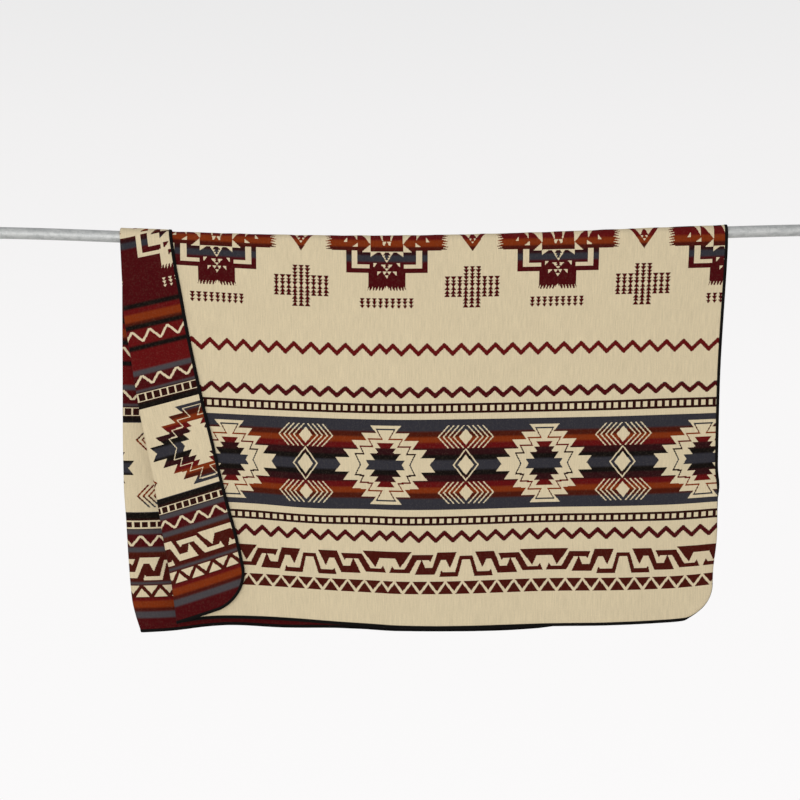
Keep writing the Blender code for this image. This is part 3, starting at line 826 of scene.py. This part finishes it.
def makePatternGroup(name, inset):
    # inset is how far the dark figure's edges draw in on this face
    tree = bpy.data.node_groups.new(name, "ShaderNodeTree")
    tree.interface.new_socket("dark", in_out="OUTPUT", socket_type="NodeSocketFloat")
    tree.interface.new_socket("stripe", in_out="OUTPUT", socket_type="NodeSocketColor")
    add = functools.partial(addNode, tree)

    flat = add("UVMap", uv_map="flat")
    millimetres = add("VectorMath", {"Vector": flat, "Scale": 1000.0}, "SCALE")
    stepped = add("VectorMath", [millimetres, (*pattern["cell"], 1.0)], "SNAP")
    across = add("SeparateXYZ", [stepped])
    signedX = add("Math", [across, pattern["axis"] - pattern["cell"][0] / 2], "SUBTRACT")
    shiftedV = add("Math", [across.node.outputs[1], pattern["middle"] - pattern["cell"][1] / 2],
                   "SUBTRACT")
    v = add("Math", [shiftedV], "ABSOLUTE")

    topX = add("Math", [signedX, pattern["topHalf"]], "PINGPONG")
    topHalfwayX = add("Math", [pattern["topHalf"], topX], "SUBTRACT")
    bandX = add("Math", [signedX, pattern["bandHalf"]], "PINGPONG")
    bandHalfwayX = add("Math", [pattern["bandHalf"], bandX], "SUBTRACT")
    marks = []

    # zigzag lines
    fromAxis = add("Math", [signedX], "ABSOLUTE")
    shifted = add("Math", [fromAxis, pattern["zigzagShift"]], "ADD")
    halfLine = pattern["zigzagLine"] / 2 - pattern["zigzagLoss"][0] * inset
    for upper, lower, tooth in pattern["zigzags"]:
        toothX = add("Math", [shifted, tooth], "PINGPONG")
        blunt = halfLine - pattern["zigzagBlunt"]
        high, low = upper + blunt, lower - blunt
        line = add("Math", [toothX, (high - low) / tooth, low], "MULTIPLY_ADD")
        onLine = add("Math", [v, line, halfLine], "COMPARE")
        reach = (lower - upper) / 2 - pattern["zigzagLoss"][1] * inset
        within = add("Math", [v, (upper + lower) / 2, reach], "COMPARE")
        marks.append(add("Math", [onLine, within], "MULTIPLY"))

    # ladders: two rails and rungs
    for top, bottom, spacing in pattern["ladders"]:
        rungX = add("Math", [signedX, spacing], "PINGPONG")
        onRung = add("Math", [rungX, pattern["rung"] / 2 - inset], "LESS_THAN")
        middle, half = (top + bottom) / 2, (bottom - top) / 2 - inset
        away = distanceFrom(add, v, middle)
        halfRail = pattern["rail"] / 2 - inset
        rail = add("Math", [away, half - halfRail, halfRail], "COMPARE")
        between = add("Math", [away, half], "LESS_THAN")
        marks.append(add("Math", [onRung, between, rail], "MULTIPLY_ADD"))

    # the row of triangles: points down, and half a tooth further points up
    shifted = add("Math", [fromAxis, pattern["triangleShift"]], "ADD")
    triangleX = add("Math", [shifted, pattern["triangleHalf"]], "PINGPONG")
    otherX = add("Math", [pattern["triangleHalf"], triangleX], "SUBTRACT")
    top, bottom = pattern["triangleRow"]
    height, half = pattern["pointDown"]
    down = (top, top + height, 0, 0, half, 0)
    marks.append(paintShapes(add, triangleX, v, (down,), -inset))
    height, half = pattern["pointUp"]
    up = (bottom - height, bottom, 0, 0, 0, half)
    marks.append(paintShapes(add, otherX, v, (up,), -inset))

    # frets
    marks.append(paintShapes(add, bandX, v, fretShapes, max(grown["frets"] - inset, 0.0)))

    # medallions: bar with jagged ends, block, bracket and fringed body
    tineShare = repeatShare(add, v, tines["start"], tines["pitch"])
    tineEnd = add("Math", [tineShare, tines["length"], tines["root"]], "MULTIPLY_ADD")
    inTines = add("Math", [topX, tineEnd], "LESS_THAN")
    inBar = add("Math", [v, tines["end"]], "LESS_THAN")
    fringeDown = add("Math", [v, 1 / fringe["length"], -fringe["top"] / fringe["length"]],
                     "MULTIPLY_ADD")
    fringeX = add("Math", [fringeDown, -fringe["lean"], topX], "MULTIPLY_ADD")
    toothAway = add("Math", [fringeX, fringe["halfPitch"]], "PINGPONG")
    toothHalf = add("Math", [fringeDown, -fringe["taper"], fringe["half"] - inset], "MULTIPLY_ADD")
    inTooth = add("Math", [toothAway, toothHalf], "LESS_THAN")
    inFringe = paintShapes(add, topX, v, fringe["area"])
    solids = paintShapes(add, topX, v, medallionSolids, max(grown["solids"] - inset, 0.0))
    solids = add("Math", [inTines, inBar, solids], "MULTIPLY_ADD")
    solids = add("Math", [inTooth, inFringe, solids], "MULTIPLY_ADD")
    solid = add("Math", [solids, 0.5], "GREATER_THAN")
    cuts = paintShapes(add, topX, v, medallionCuts, inset + grown["cuts"])
    uncut = add("Math", [cuts, 0.5], "LESS_THAN")
    # the islands are small, so they lose half as much
    islands = paintShapes(add, topX, v, medallionIslands, -inset / 2)
    marks.append(add("Math", [solid, uncut, islands], "MULTIPLY_ADD"))

    # arrow rows under the medallions
    columnX = add("Math", [topX, arrows["halfPitch"]], "PINGPONG")
    arrowShare = repeatShare(add, v, arrows["top"], arrows["step"])
    arrowHalf = add("Math", [arrowShare, -arrows["taper"], arrows["half"] - inset], "MULTIPLY_ADD")
    inArrow = add("Math", [columnX, arrowHalf], "LESS_THAN")
    arrowField = paintShapes(add, topX, v, arrows["area"])
    leftOut = paintShapes(add, fromAxis, v, arrows["leftOut"])
    arrowField = add("Math", [arrowField, leftOut], "GREATER_THAN")
    marks.append(add("Math", [inArrow, arrowField], "MULTIPLY"))

    # crosses of small triangles, halfway between the medallions
    crossColumn = add("Math", [topHalfwayX, crosses["halfPitch"]], "PINGPONG")
    crossV = distanceFrom(add, v, crosses["middle"])
    crossShare = repeatShare(add, crossV, 0.0, crosses["step"])
    crossHalf = add("Math", [crossShare, crosses["flare"], crosses["half"] - inset],
                    "MULTIPLY_ADD")
    inCross = add("Math", [crossColumn, crossHalf], "LESS_THAN")
    crossField = paintShapes(add, topHalfwayX, crossV, crosses["area"])
    marks.append(add("Math", [inCross, crossField], "MULTIPLY"))
    marks.append(paintShapes(add, topHalfwayX, v, veeShapes, -inset))

    # star band: stripes show except in the cream star, diamonds and chevrons
    r = distanceFrom(add, v, pattern["starMiddle"])
    widest = starMotif["widest"]
    starX = add("Math", [bandX, 1 / widest], "MULTIPLY")
    trimmedX = add("Math", [starX, (starMotif["trim"] - inset) / widest], "ADD")
    inStar = add("Math", [trimmedX, steppedWidth(add, r, starOutside)], "LESS_THAN")
    coreX = add("Math", [starX, inset / widest], "ADD")
    inCore = add("Math", [coreX, steppedWidth(add, r, starCore)], "LESS_THAN")
    halfHigh, halfWide = [half - less * inset for half, less in
                          (starMotif["lineHalfHigh"], starMotif["lineHalfWide"])]
    halfWide /= widest
    outerR = add("Math", [r, halfHigh], "SUBTRACT")
    innerR = add("Math", [r, halfHigh], "ADD")
    outerX = add("Math", [starX, halfWide], "SUBTRACT")
    innerX = add("Math", [starX, halfWide], "ADD")
    inOuter = add("Math", [outerX, steppedWidth(add, outerR, starLine)], "LESS_THAN")
    notInner = add("Math", [innerX, steppedWidth(add, innerR, starLine)], "GREATER_THAN")
    lineEnd = add("Math", [r, starMotif["lineEnd"]], "LESS_THAN")
    onLine = add("Math", [inOuter, notInner], "MULTIPLY")
    dark = add("Math", [onLine, lineEnd, inCore], "MULTIPLY_ADD")
    plain = add("Math", [dark, 0.5], "LESS_THAN")
    belowTop = add("Math", [r, starOutside[-1][1]], "LESS_THAN")
    inStar = add("Math", [inStar, belowTop], "MULTIPLY")
    star = add("Math", [inStar, plain], "MULTIPLY")

    # four slanted chevrons on each side of a small diamond, above and below a big one
    groupV = distanceFrom(add, r, chevronMotif["middle"])
    slant = add("Math", [groupV, chevronMotif["slant"] / chevronMotif["half"], bandHalfwayX],
                "MULTIPLY_ADD")
    pitch = chevronMotif["pitch"]
    chevronWidth = chevronMotif["share"] + chevronMotif["shareWider"] * inset
    chevronStart = (chevronWidth - chevronMotif["share"]) / 2 - chevronMotif["first"] / pitch
    chevronStep = add("Math", [slant, 1 / pitch, chevronStart], "MULTIPLY_ADD")
    chevronShare = add("Math", [chevronStep], "FRACT")
    onChevron = add("Math", [chevronShare, chevronWidth], "LESS_THAN")
    middle, half = chevronMotif["field"]
    chevronField = add("Math", [slant, middle, half + chevronMotif["fieldWider"] * inset],
                       "COMPARE")
    chevronLow = add("Math", [groupV, chevronMotif["half"]], "LESS_THAN")
    chevronArea = add("Math", [chevronField, chevronLow], "MULTIPLY")
    chevrons = add("Math", [onChevron, chevronArea], "MULTIPLY")
    wide, high = diamonds["small"]
    smallDiamond = add("Math", [groupV, wide / high, bandHalfwayX], "MULTIPLY_ADD")
    inSmall = add("Math", [smallDiamond, wide + inset], "LESS_THAN")
    wide, high = diamonds["big"]
    bigDiamond = add("Math", [r, wide / high, bandHalfwayX], "MULTIPLY_ADD")
    middle, half = diamonds["outline"]
    onOutline = add("Math", [bigDiamond, middle, half + diamonds["outlineWider"] * inset],
                    "COMPARE")
    innerDiamond = add("Math", [bigDiamond, diamonds["inner"] + inset], "LESS_THAN")
    cream = star
    for part in (chevrons, inSmall, onOutline, innerDiamond):
        cream = add("Math", [cream, part], "MAXIMUM")
    top, bottom = pattern["band"]
    inBand = add("Math", [v, (top + bottom) / 2, (bottom - top) / 2 - inset], "COMPARE")
    notCream = add("Math", [1.0, cream], "SUBTRACT")
    marks.append(add("Math", [inBand, notCream], "MULTIPLY"))

    total = marks[0]
    for mark in marks[1:]:
        total = add("Math", [total, mark], "ADD")
    total = add("Math", [total, 0.5], "GREATER_THAN")

    # the stripes of the coloured warp
    colour = stripeRamp(add, v, stripesTop, "top")
    for ramp, start in ((stripeRamp(add, v, stripesUpper, "upper"), stripeReach["upper"][0]),
                        (stripeRamp(add, r, stripesBand, "band"), top),
                        (stripeRamp(add, v, stripesLower, "lower"), bottom)):
        beyond = add("Math", [v, start], "GREATER_THAN")
        colour = add("Mix", {0: beyond, 6: colour, 7: ramp}, out=2, data_type="RGBA")
    output = tree.nodes.new("NodeGroupOutput")
    feedInputs(tree, output, {"dark": total, "stripe": colour})
    return tree


def startMaterial(name):
    material = bpy.data.materials.new(name)
    material.use_nodes = True
    tree = material.node_tree
    return material, tree, tree.nodes["Principled BSDF"], functools.partial(addNode, tree)


# Double-faced jacquard of soft spun yarn, brushed lightly: matt, a little fuzzy, and mottled
jacquard = {
    "roughness": 0.92,
    "specular": 0.05,
    "sheen": (0.02, 0.5),              # weight, roughness
    "speck": (3.2, 3.3, 1.0),          # mm, two yarns wide: where the other warp peeps through
    "speckShare": 0.02,
    "speckFalloff": 4.0,               # higher leaves fewer strong specks
    # lightness: (mm across, mm along, detail, roughness, depth)
    "unevenness": {"streak": (3.4, 48.0, 2.0, 0.6, 0.36), "mottle": (3.4, 3.4, 3.0, 0.7, 0.30),
                   "blotch": (55.0, 90.0, 2.0, 0.5, 0.08)},
    # real ribs are 1.6 by 2.2 mm, drawn about twice as coarse so that they show
    "rib": (3.2, 4.4),
    "ribHeight": 0.0004,
    "ribStrength": 0.55,
    "lumps": 1.6,                      # height of the mottle beside the ribs
}


def jacquardMaterial(name, group, creamFace):
    material, tree, shader, add = startMaterial(name)
    patternNode = tree.nodes.new("ShaderNodeGroup")
    patternNode.node_tree = group
    dark, stripe = patternNode.outputs["dark"], patternNode.outputs["stripe"]
    flat = add("UVMap", uv_map="flat")
    millimetres = add("VectorMath", {"Vector": flat, "Scale": 1000.0}, "SCALE")

    # each face shows one warp, and a little of the other between its yarns
    cell = add("VectorMath", [millimetres, jacquard["speck"]], "SNAP")
    speck = add("TexWhiteNoise", [cell], noise_dimensions="3D")
    through = add("Math", [speck, jacquard["speckFalloff"]], "POWER")
    share = add("Math", [through, jacquard["speckShare"]], "MULTIPLY")
    face = dark if creamFace else add("Math", [1.0, dark], "SUBTRACT")
    towards = add("Math", [face, 0.5], "LESS_THAN")
    shown = add("Mix", {0: share, 2: face, 3: towards}, data_type="FLOAT")
    colour = add("Mix", {0: shown, 6: linearColour(yarns["cream"]), 7: stripe}, out=2,
                 data_type="RGBA")

    # uneven warp yarns, mottled spinning and faint blotches
    light, noises = 1.0, {}
    for kind, (wide, high, detail, rough, depth) in jacquard["unevenness"].items():
        at = add("VectorMath", [millimetres, (1 / wide, 1 / high, 0.0)], "MULTIPLY")
        noises[kind] = add("TexNoise", {"Vector": at, "Scale": 1.0, "Detail": detail,
                                        "Roughness": rough})
        light = add("Math", [light, depth / 2], "SUBTRACT")
        light = add("Math", [noises[kind], depth, light], "MULTIPLY_ADD")
    lit = add("VectorMath", {"Vector": colour, "Scale": light}, "SCALE")

    # ribs of the weave and the yarns' own unevenness
    ribAt = add("VectorMath", [millimetres, (2 * math.pi / jacquard["rib"][0],
                                             2 * math.pi / jacquard["rib"][1], 0.0)], "MULTIPLY")
    ribWave = add("VectorMath", [ribAt], "SINE")
    ribX = add("SeparateXYZ", [ribWave])
    weave = add("Math", [ribX, ribX.node.outputs[1]], "MULTIPLY")
    height = add("Math", [noises["mottle"], jacquard["lumps"], weave], "MULTIPLY_ADD")
    bump = add("Bump", {"Height": height, "Strength": jacquard["ribStrength"],
                        "Distance": jacquard["ribHeight"]})
    sheen, sheenRoughness = jacquard["sheen"]
    feedInputs(tree, shader, {"Base Color": lit, "Normal": bump, "Sheen Weight": sheen,
                              "Sheen Roughness": sheenRoughness,
                              "Roughness": jacquard["roughness"],
                              "Specular IOR Level": jacquard["specular"]})
    return material


# Black woven polyester tape, sewn on: flat black with a fine twill line and a row of stitches
twill = {
    "colour": "#0D0B0A",
    "thread": "#1D1A18",
    "roughness": 0.9,
    "specular": 0.1,
    # metres: stitches 3.6 mm apart, 1.6 mm in from the tape's edge
    "stitch": 0.0036,
    "stitchShare": 0.33,                   # half its length, in spacings
    "stitchHeight": 2.5,                   # beside the twill's
    "stitchInward": (0.0074, 0.0005),      # middle and half width of the row
    "line": 0.002,                         # twill lines 0.8 mm apart, drawn at 2 mm to show
    "lineDepth": 0.12,
    "fuzz": 360.0,                         # per metre
    "fuzzDepth": 0.5,
    "relief": (0.5, 0.0002),               # strength, height
}


def tapeMaterial():
    material, tree, shader, add = startMaterial("wovenPolyesterTape")
    flat = add("UVMap", uv_map="flat")
    along = add("SeparateXYZ", [flat])
    inward = along.node.outputs[1]
    stitchAt = add("Math", [along, twill["stitch"] / 2], "PINGPONG")
    stitchLong = add("Math", [stitchAt, twill["stitch"] * twill["stitchShare"]], "LESS_THAN")
    stitchLine = add("Math", [inward, *twill["stitchInward"]], "COMPARE")
    stitch = add("Math", [stitchLong, stitchLine], "MULTIPLY")
    twillAt = add("Math", [along, inward], "ADD")
    twillAngle = add("Math", [twillAt, 2 * math.pi / twill["line"]], "MULTIPLY")
    twillWave = add("Math", [twillAngle], "SINE")
    fuzz = add("TexNoise", {"Vector": flat, "Scale": twill["fuzz"], "Detail": 3.0})
    depth = twill["fuzzDepth"]
    light = add("Math", [twillWave, twill["lineDepth"], 1.0 - depth / 2], "MULTIPLY_ADD")
    light = add("Math", [fuzz, depth, light], "MULTIPLY_ADD")
    colour = add("Mix", {0: stitch, 6: linearColour(twill["colour"]),
                         7: linearColour(twill["thread"])}, out=2, data_type="RGBA")
    lit = add("VectorMath", {"Vector": colour, "Scale": light}, "SCALE")
    height = add("Math", [stitch, twill["stitchHeight"], twillWave], "MULTIPLY_ADD")
    strength, distance = twill["relief"]
    bump = add("Bump", {"Height": height, "Strength": strength, "Distance": distance})
    feedInputs(tree, shader, {"Base Color": lit, "Normal": bump, "Roughness": twill["roughness"],
                              "Specular IOR Level": twill["specular"]})
    return material


# Hot-dip galvanised steel tube: dull light grey zinc with cloudy spangle and a few dull specks
zinc = {
    "tones": ((0.38, "#B0B2B1"), (0.78, "#C9CAC8")),
    "spot": "#858887",
    "clouds": (22.0, 90.0, 90.0),      # per metre: drawn out along the tube
    "cloudGrain": (4.0, 0.65),         # detail, roughness
    "relief": (0.3, 0.0004),           # strength, height
    "spangle": 110.0,                  # per metre, so about 9 mm across
    "spangleShare": 0.28,
    "specks": 260.0,                   # per metre
    "speckFrom": 0.72,                 # higher makes fewer and smaller specks
    "speckShare": 0.6,
    "roughness": (0.45, 0.70),         # where the clouds are dark, and light
    "metallic": 0.5,                   # a dull oxide skin lies over much of it
}


def zincMaterial():
    material, tree, shader, add = startMaterial("galvanisedSteel")
    place = add("TexCoord", out=3)
    drawn = add("VectorMath", [place, zinc["clouds"]], "MULTIPLY")
    detail, grain = zinc["cloudGrain"]
    cloud = add("TexNoise", {"Vector": drawn, "Scale": 1.0, "Detail": detail, "Roughness": grain})
    spangle = add("TexVoronoi", {"Vector": place, "Scale": zinc["spangle"]}, out=1)
    spangleTone = add("SeparateColor", [spangle])
    share = add("Math", [spangleTone, zinc["spangleShare"], cloud], "MULTIPLY_ADD")
    ramp = add("ValToRGB", [share])
    fillRamp(ramp.node.color_ramp, [(tone, linearColour(colour)) for tone, colour in zinc["tones"]])
    speckAt = add("TexNoise", {"Vector": place, "Scale": zinc["specks"], "Detail": 1.0})
    speck = add("Math", [speckAt, zinc["speckFrom"]], "GREATER_THAN")
    speckShare = add("Math", [speck, zinc["speckShare"]], "MULTIPLY")
    colour = add("Mix", {0: speckShare, 6: ramp, 7: linearColour(zinc["spot"])}, out=2,
                 data_type="RGBA")
    least, most = zinc["roughness"]
    rough = add("Math", [cloud, most - least, least], "MULTIPLY_ADD")
    strength, distance = zinc["relief"]
    bump = add("Bump", {"Height": cloud, "Strength": strength, "Distance": distance})
    feedInputs(tree, shader, {"Base Color": colour, "Roughness": rough, "Normal": bump,
                              "Metallic": zinc["metallic"]})
    return material


print("cloth")
cloth = makeCloth()
group = makePatternGroup("patternOnCreamFace", 0.0)
cloth.data.materials.append(jacquardMaterial("jacquardCreamFace", group, True))
group = makePatternGroup("patternOnColouredFace", pattern["narrower"])
cloth.data.materials.append(jacquardMaterial("jacquardColouredFace", group, False))
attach(cloth, "root")
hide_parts("blanket_cloth")

print("tape")
binding = makeTape()
binding.data.materials.append(tapeMaterial())
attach(binding, "root")
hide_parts("edge_binding")

print("tube")
tube = makeRod()
tube.data.materials.append(zincMaterial())
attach(tube, "root")
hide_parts("rod")

print("studio")
studio = {
    "floorZ": -2.1,
    "floor": ((-11.0, -14.0), (13.6, 1.7)),
    "floorColour": "#E9E8E6",
    "floorRoughness": 0.8,
    # (height of the direction, colour): dimmer overhead
    "sky": ((-0.25, "#FBFAFA"), (0.0, "#F8F7F7"), (0.16, "#F1F0F0"), (0.30, "#E6E6E6"),
            (0.75, "#B4B5B7")),
    # (place, aimed at, size, watts)
    "lights": (((0.2, -5.6, -0.7), (1.3, 0.0, -0.5), 2.6, 118.0),),
}


def makeStudio():
    low, high = studio["floor"]
    z = studio["floorZ"]
    floor = meshObject("floor", [(low[0], low[1], z), (high[0], low[1], z),
                                 (high[0], high[1], z), (low[0], high[1], z)], [(0, 1, 2, 3)])
    material, tree, shader, add = startMaterial("paleFloor")
    feedInputs(tree, shader, {"Base Color": linearColour(studio["floorColour"]),
                              "Roughness": studio["floorRoughness"]})
    floor.data.materials.append(material)

    world = bpy.data.worlds.new("softDaylight")
    world.use_nodes = True
    sky = functools.partial(addNode, world.node_tree)
    height = sky("SeparateXYZ", [sky("TexCoord")], out=2)
    ramp = sky("ValToRGB", [sky("Math", [height, 0.5, 0.5], "MULTIPLY_ADD")])
    fillRamp(ramp.node.color_ramp, [(place * 0.5 + 0.5, linearColour(colour))
                                    for place, colour in studio["sky"]])
    feedInputs(world.node_tree, world.node_tree.nodes["Background"], {"Color": ramp})
    bpy.context.scene.world = world

    for place, target, size, watts in studio["lights"]:
        data = bpy.data.lights.new("softbox", "AREA")
        data.size = size
        data.energy = watts
        lamp = bpy.data.objects.new("softbox", data)
        lamp.location = place
        aim = Vector(target) - Vector(place)
        lamp.rotation_euler = aim.to_track_quat("-Z", "Y").to_euler()
        bpy.context.scene.collection.objects.link(lamp)

    data = bpy.data.cameras.new("camera")
    data.lens = camera["lens"]
    data.sensor_width = camera["sensor"]
    view = bpy.data.objects.new("camera", data)
    view.location = camera["place"]
    view.rotation_euler = (math.pi / 2, camera["roll"], 0.0)
    bpy.context.scene.collection.objects.link(view)
    bpy.context.scene.camera = view
    bpy.context.scene.view_settings.view_transform = "Standard"


makeStudio()

print("done")
